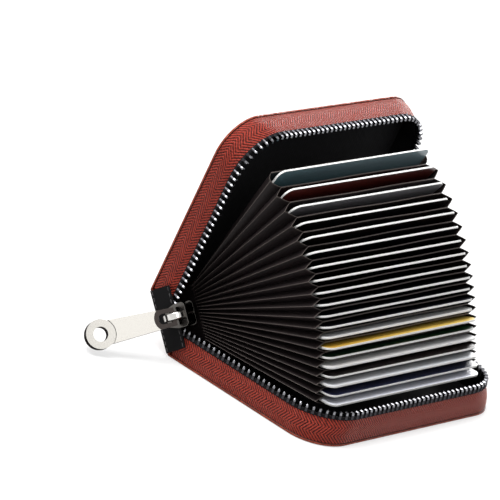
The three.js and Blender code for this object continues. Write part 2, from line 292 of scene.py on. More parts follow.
def choose(piece, kind, test):
    """Selects the edges or faces that pass the test, in edit mode."""
    bpy.ops.mesh.select_mode(type="EDGE" if kind == "edges" else "FACE")
    bpy.ops.mesh.select_all(action="DESELECT")
    mesh = bmesh.from_edit_mesh(piece.data)
    for item in getattr(mesh, kind):
        item.select_set(bool(test(item)))
    mesh.select_flush_mode()
    bmesh.update_edit_mesh(piece.data)


def round_edges(piece, test, width, segments):
    alone(piece)
    bpy.ops.object.mode_set(mode="EDIT")
    choose(piece, "edges", test)
    bpy.ops.mesh.bevel(offset=width, segments=segments, affect="EDGES")
    bpy.ops.object.mode_set(mode="OBJECT")


def upright(edge):
    a, b = edge.verts
    return abs(a.co.z - b.co.z) > 1e-4 and (a.co.xy - b.co.xy).length < 1e-4


def sharp(edge):
    return len(edge.link_faces) == 2 and edge.calc_face_angle() > math.radians(40)


def modify(piece, kind, **settings):
    alone(piece)
    modifier = piece.modifiers.new(kind.title(), kind)
    for key, value in settings.items():
        setattr(modifier, key, value)
    bpy.ops.object.modifier_apply(modifier=modifier.name)


def shaped_sheet(name, columns, rows, place):
    """A grid whose points are moved to place(u, v), with u and v from 0 to 1."""
    bpy.ops.object.select_all(action="DESELECT")
    bpy.ops.mesh.primitive_grid_add(x_subdivisions=columns, y_subdivisions=rows, size=1)
    piece = added(name)
    for vertex in piece.data.vertices:
        vertex.co = place(vertex.co.x + 0.5, vertex.co.y + 0.5)
    return piece


def copies(name, model, places):
    """Copies of a small model at each place, joined to one piece."""
    bpy.ops.object.select_all(action="DESELECT")
    for place in places:
        copy = model.copy()
        copy.data = model.data.copy()
        copy.data.transform(place)
        bpy.context.scene.collection.objects.link(copy)
        copy.select_set(True)
        bpy.context.view_layer.objects.active = copy
    bpy.ops.object.join()
    piece = bpy.context.object
    piece.name = name
    piece.data.name = name
    bpy.data.objects.remove(model)
    return piece


def combined(piece, other, operation):
    """Joins another piece to this one, or cuts it away."""
    modify(piece, "BOOLEAN", object=other, operation=operation, solver="EXACT")
    bpy.data.objects.remove(other)


def finished(piece, place, materials, smooth=35):
    """Brings a piece to where it rests, in metres, with its materials and smooth shading."""
    piece.data.transform(TO_METRES @ place)
    for material in materials:
        piece.data.materials.append(material)
    alone(piece)
    bpy.ops.object.shade_smooth_by_angle(angle=math.radians(smooth))
    modify(piece, "WEIGHTED_NORMAL", keep_sharp=True)
    return piece


# Materials

def linear(code):
    """sRGB hex to a linear colour."""
    parts = [int(code[n:n + 2], 16) / 255 for n in (1, 3, 5)]
    return [c / 12.92 if c <= 0.04045 else ((c + 0.055) / 1.055) ** 2.4 for c in parts] + [1.0]


def add(tree, kind, inputs=None, **settings):
    """Adds a node with its settings, and links or sets its inputs."""
    made = tree.nodes.new(kind)
    for key, value in settings.items():
        setattr(made, key, value)
    for key, value in (inputs or {}).items():
        if isinstance(value, bpy.types.NodeSocket):
            tree.links.new(value, made.inputs[key])
        else:
            made.inputs[key].default_value = value
    return made


def started(name, **sockets):
    """A new material, its node tree and its shader with the constant sockets set."""
    material = bpy.data.materials.new(name)
    material.use_nodes = True
    shader = material.node_tree.nodes["Principled BSDF"]
    for key, value in sockets.items():
        shader.inputs[key.replace("_", " ")].default_value = value
    return material, material.node_tree, shader


def darker(code, share):
    return [c * share for c in linear(code)[:3]] + [1.0]


def per_mm(size):
    """Texture scale for a pattern of that size in millimetres on coordinates in metres."""
    return 1000 / size


def per_wave(spacing):
    """Wave texture scale for bands that far apart in millimetres, which are pi / 10 apart at a scale of 1."""
    return per_mm(spacing) * math.pi / 10


def pebbled_leather():
    """Tumbled full-grain cowhide: soft pebbles of about 3 mm, longer along the spine, satin on their tops and
    parted by fine creases, which are painted darker as shade."""
    material, tree, shader = started("pebbled_leather", Specular_IOR_Level=0.32, IOR=1.5)
    placed = add(tree, "ShaderNodeTexCoord").outputs["Object"]
    at = add(tree, "ShaderNodeMapping", {"Vector": placed, "Scale": (1.0, 0.75, 1.0)}).outputs[0]
    warp = add(tree, "ShaderNodeTexNoise", {"Vector": at, "Scale": per_mm(4), "Detail": 2.0})
    centred = add(tree, "ShaderNodeVectorMath", {0: warp.outputs["Color"], 1: (0.5, 0.5, 0.5)},
                  operation="SUBTRACT")
    moved = add(tree, "ShaderNodeVectorMath", {0: centred.outputs[0], 1: (0.003, 0.003, 0.003), 2: at},
                operation="MULTIPLY_ADD").outputs[0]
    domes = add(tree, "ShaderNodeTexVoronoi", {"Vector": moved, "Scale": per_mm(2.8), "Smoothness": 0.18},
                feature="SMOOTH_F1").outputs["Distance"]
    edges = add(tree, "ShaderNodeTexVoronoi", {"Vector": moved, "Scale": per_mm(2.8)},
                feature="DISTANCE_TO_EDGE").outputs["Distance"]
    pebble = add(tree, "ShaderNodeMapRange", {"Value": domes, "From Min": 0.75, "From Max": 0.15},
                 interpolation_type="SMOOTHSTEP")
    crease = add(tree, "ShaderNodeMapRange", {"Value": edges, "From Max": 0.1},
                 interpolation_type="SMOOTHSTEP")
    pores = add(tree, "ShaderNodeTexNoise", {"Vector": at, "Scale": per_mm(0.6), "Detail": 3.0})
    grain = add(tree, "ShaderNodeMath", {0: pores.outputs["Fac"], 1: 0.14, 2: pebble.outputs[0]},
                operation="MULTIPLY_ADD")
    height = add(tree, "ShaderNodeMath", {0: crease.outputs[0], 1: 0.22, 2: grain.outputs[0]},
                 operation="MULTIPLY_ADD")
    bump = add(tree, "ShaderNodeBump", {"Height": height.outputs[0], "Strength": 1.0, "Distance": 0.0005})
    cloudy = add(tree, "ShaderNodeTexNoise", {"Vector": at, "Scale": per_mm(28), "Detail": 2.0})
    tops = add(tree, "ShaderNodeMix", {"Factor": cloudy.outputs["Fac"], "A": linear("#8f3418"),
                                       "B": linear("#a03f21")}, data_type="RGBA")
    # The creases get a darker colour than the pebbles' tops: painted shade.
    colour = add(tree, "ShaderNodeMix", {"Factor": crease.outputs[0], "A": linear("#7f2d13"),
                                         "B": tops.outputs["Result"]}, data_type="RGBA")
    rough = add(tree, "ShaderNodeMapRange", {"Value": pebble.outputs[0], "To Min": 0.55, "To Max": 0.34})
    tree.links.new(colour.outputs["Result"], shader.inputs["Base Color"])
    tree.links.new(rough.outputs[0], shader.inputs["Roughness"])
    tree.links.new(bump.outputs[0], shader.inputs["Normal"])
    return material


def dyed_and_shaded_leather():
    """Inner side and edge of the leather, dyed dark and sealed: smooth, a little uneven in depth. On the
    ledge along the rim its darkness is painted shade.
    """
    material, tree, shader = started("dyed_edge_and_painted_shade", Specular_IOR_Level=0.3, IOR=1.5)
    at = add(tree, "ShaderNodeTexCoord").outputs["Object"]
    cloudy = add(tree, "ShaderNodeTexNoise", {"Vector": at, "Scale": per_mm(2.5), "Detail": 3.0})
    colour = add(tree, "ShaderNodeMix", {"Factor": cloudy.outputs["Fac"], "A": linear("#2c0a06"),
                                         "B": linear("#4a150c")}, data_type="RGBA")
    rough = add(tree, "ShaderNodeMapRange", {"Value": cloudy.outputs["Fac"], "To Min": 0.36, "To Max": 0.56})
    tree.links.new(colour.outputs["Result"], shader.inputs["Base Color"])
    tree.links.new(rough.outputs[0], shader.inputs["Roughness"])
    return material


def herringbone_tape():
    """Woven polyester zip tape: herringbone ribs 1.25 mm apart in columns of 2.8 mm that catch the light,
    with gaps painted near-black as shade and short crossing threads. The map along the tape is in
    millimetres."""
    material, tree, shader = started("herringbone_tape", Roughness=0.45, Specular_IOR_Level=0.16,
                                     Sheen_Weight=0.9, Sheen_Roughness=0.25, Sheen_Tint=linear("#ffc8bc"))
    place = add(tree, "ShaderNodeSeparateXYZ", {0: add(tree, "ShaderNodeUVMap").outputs[0]})
    along = place.outputs["X"]
    slant = add(tree, "ShaderNodeMath", {0: place.outputs["Y"], 1: 2.8}, operation="PINGPONG").outputs[0]
    fuzz = add(tree, "ShaderNodeTexNoise", {"Vector": add(tree, "ShaderNodeTexCoord").outputs["Object"],
                                            "Scale": per_mm(0.6), "Detail": 3.0})
    height = fuzz.outputs["Fac"]
    for operation, pitch, share in (("ADD", 1.25, 0.3), ("SUBTRACT", 0.62, 0.13)):
        across = add(tree, "ShaderNodeMath", {0: along, 1: slant}, operation=operation)
        turn = add(tree, "ShaderNodeMath", {0: across.outputs[0], 1: 2 * math.pi / pitch},
                   operation="MULTIPLY")
        wave = add(tree, "ShaderNodeMath", {0: turn.outputs[0]}, operation="SINE")
        height = add(tree, "ShaderNodeMath", {0: wave.outputs[0], 1: share, 2: height},
                     operation="MULTIPLY_ADD").outputs[0]
    thread = add(tree, "ShaderNodeMapRange", {"Value": height, "From Min": 0.18, "From Max": 0.9}).outputs[0]
    # Low places between the ribs get the near-black colour A: painted shade in the gaps.
    colour = add(tree, "ShaderNodeMix", {"Factor": thread, "A": linear("#240403"), "B": linear("#bf4534")},
                 data_type="RGBA")
    bump = add(tree, "ShaderNodeBump", {"Height": thread, "Strength": 0.7, "Distance": 0.0003})
    tree.links.new(colour.outputs["Result"], shader.inputs["Base Color"])
    tree.links.new(bump.outputs[0], shader.inputs["Normal"])
    return material


def woven_black(name, code, spacing, sheen):
    """Black polyester weave: two crossing thread waves, painted darker between the threads as shade, and a
    faint sheen. The threads are drawn coarser than real ones, so that they show."""
    material, tree, shader = started(name, Roughness=0.82, Sheen_Weight=sheen, Sheen_Roughness=0.5,
                                     Specular_IOR_Level=0.12)
    at = add(tree, "ShaderNodeTexCoord").outputs["Object"]
    warp = add(tree, "ShaderNodeTexWave", {"Vector": at, "Scale": per_wave(spacing), "Distortion": 0.6},
               bands_direction="Y")
    weft = add(tree, "ShaderNodeTexWave", {"Vector": at, "Scale": per_wave(spacing), "Distortion": 0.6},
               bands_direction="DIAGONAL")
    both = add(tree, "ShaderNodeMath", {0: warp.outputs["Fac"], 1: weft.outputs["Fac"]},
               operation="MULTIPLY").outputs[0]
    cloudy = add(tree, "ShaderNodeTexNoise", {"Vector": at, "Scale": per_mm(14), "Detail": 3.0})
    shade = add(tree, "ShaderNodeMath", {0: both, 1: 0.5, 2: cloudy.outputs["Fac"]}, operation="MULTIPLY_ADD")
    # Darker where the threads dip: painted shade between them, with a cloudy change of tone.
    colour = add(tree, "ShaderNodeMix", {"Factor": shade.outputs[0], "A": darker(code, 0.6),
                                         "B": linear(code)}, data_type="RGBA")
    bump = add(tree, "ShaderNodeBump", {"Height": both, "Strength": 0.25, "Distance": 0.0001})
    tree.links.new(colour.outputs["Result"], shader.inputs["Base Color"])
    tree.links.new(bump.outputs[0], shader.inputs["Normal"])
    return material


def pleat_film():
    """Black coated film of the accordion: satin, faintly brown, with painted highlights along folds and free
    edges.
    """
    material, tree, shader = started("pleat_film", Specular_IOR_Level=0.25, IOR=1.45)
    at = add(tree, "ShaderNodeTexCoord").outputs["Object"]
    painted_highlight = add(tree, "ShaderNodeAttribute", attribute_name="painted_highlight").outputs["Fac"]
    speckle = add(tree, "ShaderNodeTexNoise", {"Vector": at, "Scale": per_mm(0.6), "Detail": 3.0})
    grain = speckle.outputs["Fac"]
    cloudy = add(tree, "ShaderNodeTexNoise", {"Vector": at, "Scale": per_mm(9), "Detail": 2.0})
    film = add(tree, "ShaderNodeMix", {"Factor": cloudy.outputs["Fac"], "A": linear("#151112"),
                                       "B": linear("#251d1d")}, data_type="RGBA")
    # Folds and free edges are mixed toward a light grey-brown: painted highlight.
    highlight_share = add(tree, "ShaderNodeMath", {0: painted_highlight, 1: 0.85}, operation="MULTIPLY")
    colour = add(tree, "ShaderNodeMix", {"Factor": highlight_share.outputs[0], "A": film.outputs["Result"],
                                         "B": linear("#625a56")}, data_type="RGBA")
    rough = add(tree, "ShaderNodeMapRange", {"Value": grain, "To Min": 0.46, "To Max": 0.66})
    bump = add(tree, "ShaderNodeBump", {"Height": grain, "Strength": 0.2, "Distance": 0.00008})
    tree.links.new(colour.outputs["Result"], shader.inputs["Base Color"])
    tree.links.new(rough.outputs[0], shader.inputs["Roughness"])
    tree.links.new(bump.outputs[0], shader.inputs["Normal"])
    return material


def plated_metal(name, code, rough_low, rough_high):
    """Cast zinc, polished and plated: mirror-like with fine rubbing marks, and dark where it is seen edge
    on."""
    material, tree, shader = started(name, Metallic=1.0, Specular_Tint=linear("#8c8a8a"))
    at = add(tree, "ShaderNodeTexCoord").outputs["Object"]
    drawn = add(tree, "ShaderNodeMapping", {"Vector": at, "Scale": (1.0, 6.0, 6.0)}).outputs[0]
    rubbing = add(tree, "ShaderNodeTexNoise", {"Vector": drawn, "Scale": per_mm(1.5), "Detail": 4.0})
    marks = rubbing.outputs["Fac"]
    tint = add(tree, "ShaderNodeMix", {"Factor": marks, "A": darker(code, 0.92), "B": linear(code)},
               data_type="RGBA")
    rough = add(tree, "ShaderNodeMapRange", {"Value": marks, "To Min": rough_low, "To Max": rough_high})
    bump = add(tree, "ShaderNodeBump", {"Height": marks, "Strength": 0.03, "Distance": 0.00005})
    tree.links.new(tint.outputs["Result"], shader.inputs["Base Color"])
    tree.links.new(rough.outputs[0], shader.inputs["Roughness"])
    tree.links.new(bump.outputs[0], shader.inputs["Normal"])
    return material


def card_plastic(name, code, far_code):
    """Laminated card of printed vinyl: satin gloss, with the print a little uneven and drifting from one
    colour at the slider's end to another at the far end."""
    material, tree, shader = started(name, Coat_Weight=0.25, Coat_Roughness=0.2, IOR=1.52)
    at = add(tree, "ShaderNodeTexCoord").outputs["Object"]
    place = add(tree, "ShaderNodeSeparateXYZ", {0: at})
    end = CARD_LENGTH / 2000
    drift = add(tree, "ShaderNodeMapRange", {"Value": place.outputs["Y"], "From Min": -end, "From Max": end})
    speckle = add(tree, "ShaderNodeTexNoise", {"Vector": at, "Scale": per_mm(0.7), "Detail": 2.0})
    grain = speckle.outputs["Fac"]
    mixed = add(tree, "ShaderNodeMath", {0: grain, 1: 0.25, 2: drift.outputs[0]}, operation="MULTIPLY_ADD")
    colour = add(tree, "ShaderNodeMix", {"Factor": mixed.outputs[0], "A": linear(code),
                                         "B": linear(far_code)}, data_type="RGBA")
    rough = add(tree, "ShaderNodeMapRange", {"Value": grain, "To Min": 0.28, "To Max": 0.42})
    tree.links.new(colour.outputs["Result"], shader.inputs["Base Color"])
    tree.links.new(rough.outputs[0], shader.inputs["Roughness"])
    return material


def sewing_thread(name, low, high):
    """Twisted polyester thread: slanting plies with gaps painted dark as shade. They are drawn coarser than
    real ones, so that they show."""
    material, tree, shader = started(name, Roughness=0.6, Sheen_Weight=0.2)
    at = add(tree, "ShaderNodeTexCoord").outputs["Object"]
    plies = add(tree, "ShaderNodeTexWave", {"Vector": at, "Scale": per_wave(1.02)},
                bands_direction="DIAGONAL").outputs["Fac"]
    # The low colour fills the gaps between plies: painted shade.
    colour = add(tree, "ShaderNodeMix", {"Factor": plies, "A": linear(low), "B": linear(high)},
                 data_type="RGBA")
    bump = add(tree, "ShaderNodeBump", {"Height": plies, "Strength": 0.4, "Distance": 0.0001})
    tree.links.new(colour.outputs["Result"], shader.inputs["Base Color"])
    tree.links.new(bump.outputs[0], shader.inputs["Normal"])
    return material


LEATHER_SKIN = pebbled_leather()
# Dark dyed leather, also painted shade on the ledge along a cover's rim
LEATHER_DYE_AND_SHADE = dyed_and_shaded_leather()
TAPE = herringbone_tape()
LINING = woven_black("lining_weave", "#151417", 1.43, 0.05)
TAB_CLOTH = woven_black("tab_webbing", "#0f0e10", 1.84, 0.03)
FILM = pleat_film()
GUNMETAL = plated_metal("gunmetal_teeth", "#3c3b3e", 0.16, 0.3)
# Brighter copy of the teeth's gunmetal: painted highlight on their tips
TOOTH_TIP_HIGHLIGHT = plated_metal("tooth_tips_painted_highlight", "#86868a", 0.12, 0.24)
SLIDER_METAL = plated_metal("gunmetal_slider", "#5c5956", 0.12, 0.24)
NICKEL = plated_metal("black_nickel", "#7b7975", 0.1, 0.2)
# Brighter copy of the slider's metal: painted highlight on its post and hook
HIGHLIGHT_NICKEL = plated_metal("nickel_painted_highlight", "#dcdad6", 0.1, 0.2)
# Darker copy of the nickel: painted shade on the pull tab's sides and eye
SHADED_NICKEL = plated_metal("nickel_painted_shade", "#3b3634", 0.3, 0.45)
THREAD = sewing_thread("leather_thread", "#8a351d", "#cc7456")
TAB_THREAD = sewing_thread("webbing_thread", "#1d1b1d", "#4a4648")
CARD_EDGE = card_plastic("card_core", "#f4f4f2", "#ececea")


# Covers and spine

def rim_length(inset, corner=CORNER):
    arc = (corner - inset) * math.pi / 2
    return 2 * (WIDTH / 2 - corner - TAPE_X) + 2 * arc + 2 * (HALF_LENGTH - corner)


def rim_point(inset, s, corner=CORNER):
    """Place and heading at a distance s along the three zip sides, from the spine's near end."""
    radius = corner - inset
    straight = WIDTH / 2 - corner - TAPE_X
    side = 2 * (HALF_LENGTH - corner)
    arc = radius * math.pi / 2
    cx, cy = WIDTH / 2 - corner, HALF_LENGTH - corner
    if s <= straight:
        return Vector((TAPE_X + s, -HALF_LENGTH + inset, 0)), 0.0
    s -= straight
    if s <= arc:
        a = s / radius
        return Vector((cx + radius * math.sin(a), -cy - radius * math.cos(a), 0)), a
    s -= arc
    if s <= side:
        return Vector((cx + radius, -cy + s, 0)), math.pi / 2
    s -= side
    if s <= arc:
        a = s / radius
        return Vector((cx + radius * math.cos(a), cy + radius * math.sin(a), 0)), math.pi / 2 + a
    return Vector((cx - (s - arc), HALF_LENGTH - inset, 0)), math.pi


def inside_rim(point):
    """Distance of a point inside a cover's outline, on the three zip sides."""
    cx, cy = WIDTH / 2 - CORNER, HALF_LENGTH - CORNER
    dx, dy = point.x - cx, abs(point.y) - cy
    if dx > 0 and dy > 0:
        return CORNER - math.hypot(dx, dy)
    return min(CORNER - dx, CORNER - dy)


def cover_skin(name, place, body):
    """Leather of a cover: round corners and edges, a sunk channel for the seam on its outer face, and a dark
    inner side: dye, and painted shade on the ledge along its rim."""
    def in_channel(face):
        inside = inside_rim(face.calc_center_median())
        return face.normal.z < -0.9 and abs(inside - STITCH_INSET) < CHANNEL / 2

    def on_rim(edge):
        return all(abs(inside_rim(v.co)) < 0.01 for v in edge.verts) and not upright(edge)

    past_spine = LEFT - 3 * STITCH_INSET
    skin = block(f"{name}_leather_skin", (past_spine, -HALF_LENGTH, 0), (WIDTH / 2, HALF_LENGTH, LEATHER))
    round_edges(skin, lambda e: upright(e) and e.verts[0].co.x > 0, CORNER, 14)
    alone(skin)
    bpy.ops.object.mode_set(mode="EDIT")
    choose(skin, "faces", lambda f: f.normal.z < -0.9)
    bpy.ops.mesh.inset(thickness=STITCH_INSET - CHANNEL / 2)
    bpy.ops.mesh.inset(thickness=CHANNEL)
    choose(skin, "faces", in_channel)
    bpy.ops.mesh.extrude_region_move(TRANSFORM_OT_translate={"value": (0, 0, CHANNEL_DEPTH)})
    bpy.ops.mesh.select_all(action="SELECT")
    bpy.ops.mesh.bisect(plane_co=(PANEL_X, 0, 0), plane_no=(1, 0, 0), clear_inner=True, use_fill=True)
    bpy.ops.object.mode_set(mode="OBJECT")
    round_edges(skin, on_rim, EDGE_ROUND, 3)
    # Inward faces get the dark dyed leather; on the ledge along the rim its darkness is painted shade.
    for face in skin.data.polygons:
        face.material_index = int(face.normal.z > 0.4)
    finished(skin, place, [LEATHER_SKIN, LEATHER_DYE_AND_SHADE])
    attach(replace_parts(skin, f"{name}_leather"), body)


def cover_seam(name, place, body):
    """Saddle stitches in the channel, each a slim slanting bead of thread."""
    length = rim_length(STITCH_INSET)
    count = int(length / STITCH_PITCH)
    places = []
    for n in range(count):
        point, heading = rim_point(STITCH_INSET, (n + 0.5) * length / count)
        point.z = STITCH_Z
        places.append(Matrix.Translation(point) @ Matrix.Rotation(heading + STITCH_SLANT, 4, "Z"))
    seam = finished(copies(f"{name}_seam", stitch(STITCH), places), place, [THREAD])
    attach(seam, body)


def cover_lining(name, place, body):
    """Black cloth over thin board, turned round its edges."""
    edge = LINING_INSET
    low = (LINING_X, -HALF_LENGTH + edge, LINING_LOW)
    high = (WIDTH / 2 - edge, HALF_LENGTH - edge, LINING_TOP)
    lining = block(f"{name}_lining_cloth", low, high)
    round_edges(lining, lambda e: upright(e) and e.verts[0].co.x > 0, CORNER - edge, 12)
    round_edges(lining, sharp, LINING_ROUND, 3)
    finished(lining, place, [LINING])
    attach(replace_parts(lining, f"{name}_lining"), body)


def crease(name, place, cover):
    """Leather bending from a cover's edge round to the spine."""
    radius = LEATHER / 2
    swing = math.radians(90 - HALF_OPEN)
    length = PANEL_GAP + swing * radius + PANEL_GAP
    pivot = Vector((CREASE_X, 0, LEATHER))

    def outward(a):
        return Vector((-math.sin(a), 0, -math.cos(a)))

    def at(u, v):
        s = u * length - PANEL_GAP
        a = min(max(s / radius, 0), swing)
        ahead = Vector((-math.cos(a), 0, math.sin(a)))
        spare = s if s < 0 else max(s - swing * radius, 0)
        return pivot + outward(a) * radius + ahead * spare + Vector((0, (2 * v - 1) * HALF_LENGTH, 0))

    def at_end(edge):
        return all(abs(abs(v.co.y) - HALF_LENGTH) < 1e-3 for v in edge.verts) and sharp(edge)

    strip = shaped_sheet(name, 14, 40, at)
    modify(strip, "SOLIDIFY", thickness=CREASE_THICK, offset=0)
    round_edges(strip, at_end, CREASE_ROUND, 2)
    finished(strip, place, [LEATHER_SKIN])
    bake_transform(strip)


def spine_panels():
    """The spine's leather between the two creases, and the cloth that lines it."""
    def at_end(edge):
        return all(abs(v.co.y) > HALF_LENGTH - 0.01 for v in edge.verts) and upright(edge)

    edge = LEATHER + PANEL_GAP
    skin = block("spine_leather_skin", (LEFT, -HALF_LENGTH, edge), (CREASE_X, HALF_LENGTH, THICK - edge))
    round_edges(skin, at_end, EDGE_ROUND, 3)
    finished(skin, SPINE, [LEATHER_SKIN])
    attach(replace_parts(skin, "spine_leather"), "spine")
    end = HALF_LENGTH - SPINE_LINING_END
    cloth = block("spine_lining_cloth", (SPINE_LINING_X[0], -end, SPINE_LINING_SIDE),
                  (SPINE_LINING_X[1], end, THICK - SPINE_LINING_SIDE))
    round_edges(cloth, sharp, SPINE_LINING_ROUND, 2)
    finished(cloth, SPINE, [LINING])
    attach(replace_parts(cloth, "spine_lining"), "spine")


def end_tab(name, side):
    """Black webbing closing an end of the spine, lapped over its leather and sewn along both edges."""
    low, high = sorted(side * (HALF_LENGTH + lap) for lap in WEBBING_LAP)
    tab = block(f"{name}_webbing", (WEBBING_X[0], low, WEBBING_SIDE),
                (WEBBING_X[1], high, THICK - WEBBING_SIDE))
    round_edges(tab, sharp, WEBBING_ROUND, 2)
    finished(tab, SPINE, [TAB_CLOTH])
    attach(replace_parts(tab, name), "spine")
    outer = side * (HALF_LENGTH + WEBBING_LAP[1])
    places = []
    for x in (WEBBING_X[0] + WEBBING_SEAM, WEBBING_X[1] - WEBBING_SEAM):
        for n in range(WEBBING_STITCHES):
            places.append(Matrix.Translation((x, outer, WEBBING_SEAM_START + n * WEBBING_SEAM_PITCH)))
    seam = copies(f"{name}_seam", stitch(WEBBING_STITCH), places)
    finished(seam, SPINE, [TAB_THREAD])
    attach(seam, "spine")


# Zip

def zip_point(u, lean):
    """Place and heading at a share u of the zip's length. The tape is sewn on at the leather's edge and leans
    in to the teeth, most of all at the corners, which the teeth cut wider than the leather does."""
    foot, heading = rim_point(TAPE_FOOT_INSET, u * rim_length(TAPE_FOOT_INSET))
    head, turn = rim_point(TAPE_INSET, u * rim_length(TAPE_INSET, TEETH_CORNER), TEETH_CORNER)
    return foot.lerp(head, lean), heading + (turn - heading) * lean


def rim_band(name, low, top, thick, bulge, lean):
    """A band standing along the zip sides, with a map in millimetres along and across it."""
    length = rim_length(TAPE_INSET)

    def at(u, v):
        point, heading = zip_point(u, lean(v))
        out = Vector((math.sin(heading), -math.cos(heading), 0)) * bulge * math.sin(math.pi * v)
        return point + out + Vector((0, 0, low + v * (top - low)))

    band = shaped_sheet(name, *BAND_STEPS, at)
    for corner in band.data.uv_layers.active.data:
        corner.uv = (corner.uv.x * length, corner.uv.y * (top - low))
    modify(band, "SOLIDIFY", thickness=thick, offset=0)
    return band


def zip_tape(name, place, body):
    """The tape, red outside and black inside, and the bead along its top under the teeth, black as painted
    shade.
    """
    tape = rim_band(f"{name}_tape_band", TAPE_LOW, TAPE_TOP, TAPE_THICK, TAPE_BULGE, lambda v: v ** TAPE_LEAN)
    for face in tape.data.polygons:
        face.material_index = int(face.normal.xy.dot(face.center.xy) < -0.5)
    finished(tape, place, [TAPE, LINING])
    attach(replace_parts(tape, f"{name}_zip_tape"), body)
    bead = rim_band(f"{name}_tape_bead_painted_shade", BEAD_LOW, BEAD_TOP, BEAD_THICK, 0, lambda v: 1)
    round_edges(bead, sharp, BEAD_ROUND, 2)
    # The bead gets the black lining cloth: painted shade under the teeth.
    finished(bead, place, [LINING])
    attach(bead, body)


def tooth():
    """One tooth, narrower toward its tip, which has a brighter metal as a painted highlight."""
    along, across, high = TOOTH_SIZE
    highlight_z = TOOTH_TOP - TOOTH_HIGHLIGHT_DEPTH
    piece = block("tooth", (-along / 2, -across / 2, TOOTH_TOP - high), (along / 2, across / 2, TOOTH_TOP))
    alone(piece)
    bpy.ops.object.mode_set(mode="EDIT")
    choose(piece, "faces", lambda f: f.normal.z > 0.9)
    bpy.ops.transform.resize(value=TOOTH_TAPER, center_override=(0, 0, TOOTH_TOP))
    bpy.ops.mesh.select_all(action="SELECT")
    bpy.ops.mesh.bisect(plane_co=(0, 0, highlight_z), plane_no=(0, 0, 1))
    bpy.ops.object.mode_set(mode="OBJECT")
    round_edges(piece, sharp, TOOTH_ROUND, 1)
    # The top of each tooth gets the brighter metal: painted highlight.
    for plating in (GUNMETAL, TOOTH_TIP_HIGHLIGHT):
        piece.data.materials.append(plating)
    for face in piece.data.polygons:
        face.material_index = int(face.center.z > highlight_z)
    return piece


def zip_teeth(name, place, body):
    """The row of teeth along three sides of a cover. They bring their materials with them."""
    count = int(rim_length(TAPE_INSET, TEETH_CORNER) / TOOTH_PITCH)
    places = []
    for n in range(count):
        point, heading = zip_point((n + TOOTH_START) / count, 1)
        places.append(Matrix.Translation(point) @ Matrix.Rotation(heading, 4, "Z"))
    teeth = copies(f"{name}_teeth_row", tooth(), places)
    finished(teeth, place, [], smooth=20)
    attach(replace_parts(teeth, f"{name}_zip_teeth"), body)


# Accordion

def mark_painted_highlight(piece, test):
    """Marks the points along folds and free edges, which get a painted highlight."""
    marks = piece.data.attributes.new("painted_highlight", "FLOAT", "POINT")
    marks.data.foreach_set("value", [float(test(v.co)) for v in piece.data.vertices])


def along_leaf(u):
    """Distance from the fold, in equal steps up to the hem and one last step across it."""
    before_hem = min(u / HEM_FROM, 1) * (LEAF_LENGTH - HEM - LEAF_ROOT)
    return LEAF_ROOT + before_hem + max(u - HEM_FROM, 0) / (1 - HEM_FROM) * HEM


def half_width(s):
    """Half the leaf's width, drawn in toward the mouth by the folds at its ends."""
    return LEAF_HALF + (LEAF_MOUTH_HALF - LEAF_HALF) * (s / LEAF_LENGTH) ** 3


def sag(i, s):
    """How far leaf i hangs below its flat place: half a step of the fan, easing off at the fold."""
    return math.tan(math.radians(leaf_turn(i) - leaf_turn(i - 0.5))) * s * s / (s + SAG_EASE)


def leaf_sheet(i):
    """One leaf, slightly wavy, with a thicker hem at the mouth."""
    def middle(s, y):
        wave = WAVE * math.sin(WAVE_TURN * y + WAVE_SHIFT * i) * (s / LEAF_LENGTH) ** 2
        return wave * (1 - (y / LEAF_HALF) ** 2) - sag(i, s)

    def at(u, v):
        s = along_leaf(u)
        y = (2 * v - 1) * half_width(s)
        return Vector((s, y, middle(s, y)))

    leaf = shaped_sheet(f"leaf_{i:02d}_film", *LEAF_STEPS, at)
    # The leaf's mouth edge gets a painted highlight.
    mark_painted_highlight(leaf, lambda p: p.x > LEAF_LENGTH - 0.01)
    modify(leaf, "SOLIDIFY", thickness=LEAF_SHEET, offset=0)
    for vertex in leaf.data.vertices:
        s, y, z = vertex.co
        if s > LEAF_LENGTH - 1.5 * HEM:
            vertex.co.z = middle(s, y) + math.copysign(HEM_HALF, z - middle(s, y))
    frame_here = leaf_frame(i)
    finished(leaf, frame_here, [FILM])
    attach(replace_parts(leaf, f"leaf_{i:02d}"), f"leaf_{i:02d}")
    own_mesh(leaf)


def pleat(name, low_line, high_line, ridge, bow, place):
    """Two folded strips, one at each end of the wallet, between a lower and an upper valley line.
    The lines give the place at a distance s from the fold, in the spine's frame."""
    rows = len(PLEAT_ACROSS) - 1

    def at(u, v):
        s = along_leaf(u)
        q = PLEAT_ACROSS[round(v * rows)]
        valley = half_width(s)
        point = low_line(s).lerp(high_line(s), q)
        peak = ridge - RIDGE_DRAW * (s / LEAF_LENGTH) ** 2
        point.y = -valley - (peak - valley) * (1 - abs(2 * q - 1) ** bow)
        return point

    strip = shaped_sheet(name, PLEAT_STEPS, rows, at)
    ends = {round(at(1.0, n / rows).x, 3) for n in range(rows + 1)}
    crests = {round(at(n / PLEAT_STEPS, 0.5).y, 3) for n in range(PLEAT_STEPS + 1)}
    # The crests and mouth ends of the folds get a painted highlight.
    mark_painted_highlight(strip, lambda p: round(p.y, 3) in crests or round(p.x, 3) in ends)
    modify(strip, "SOLIDIFY", thickness=LEAF_SHEET, offset=0)
    modify(strip, "MIRROR", use_axis=(False, True, False), use_clip=False)
    return finished(strip, place, [FILM], smooth=25)


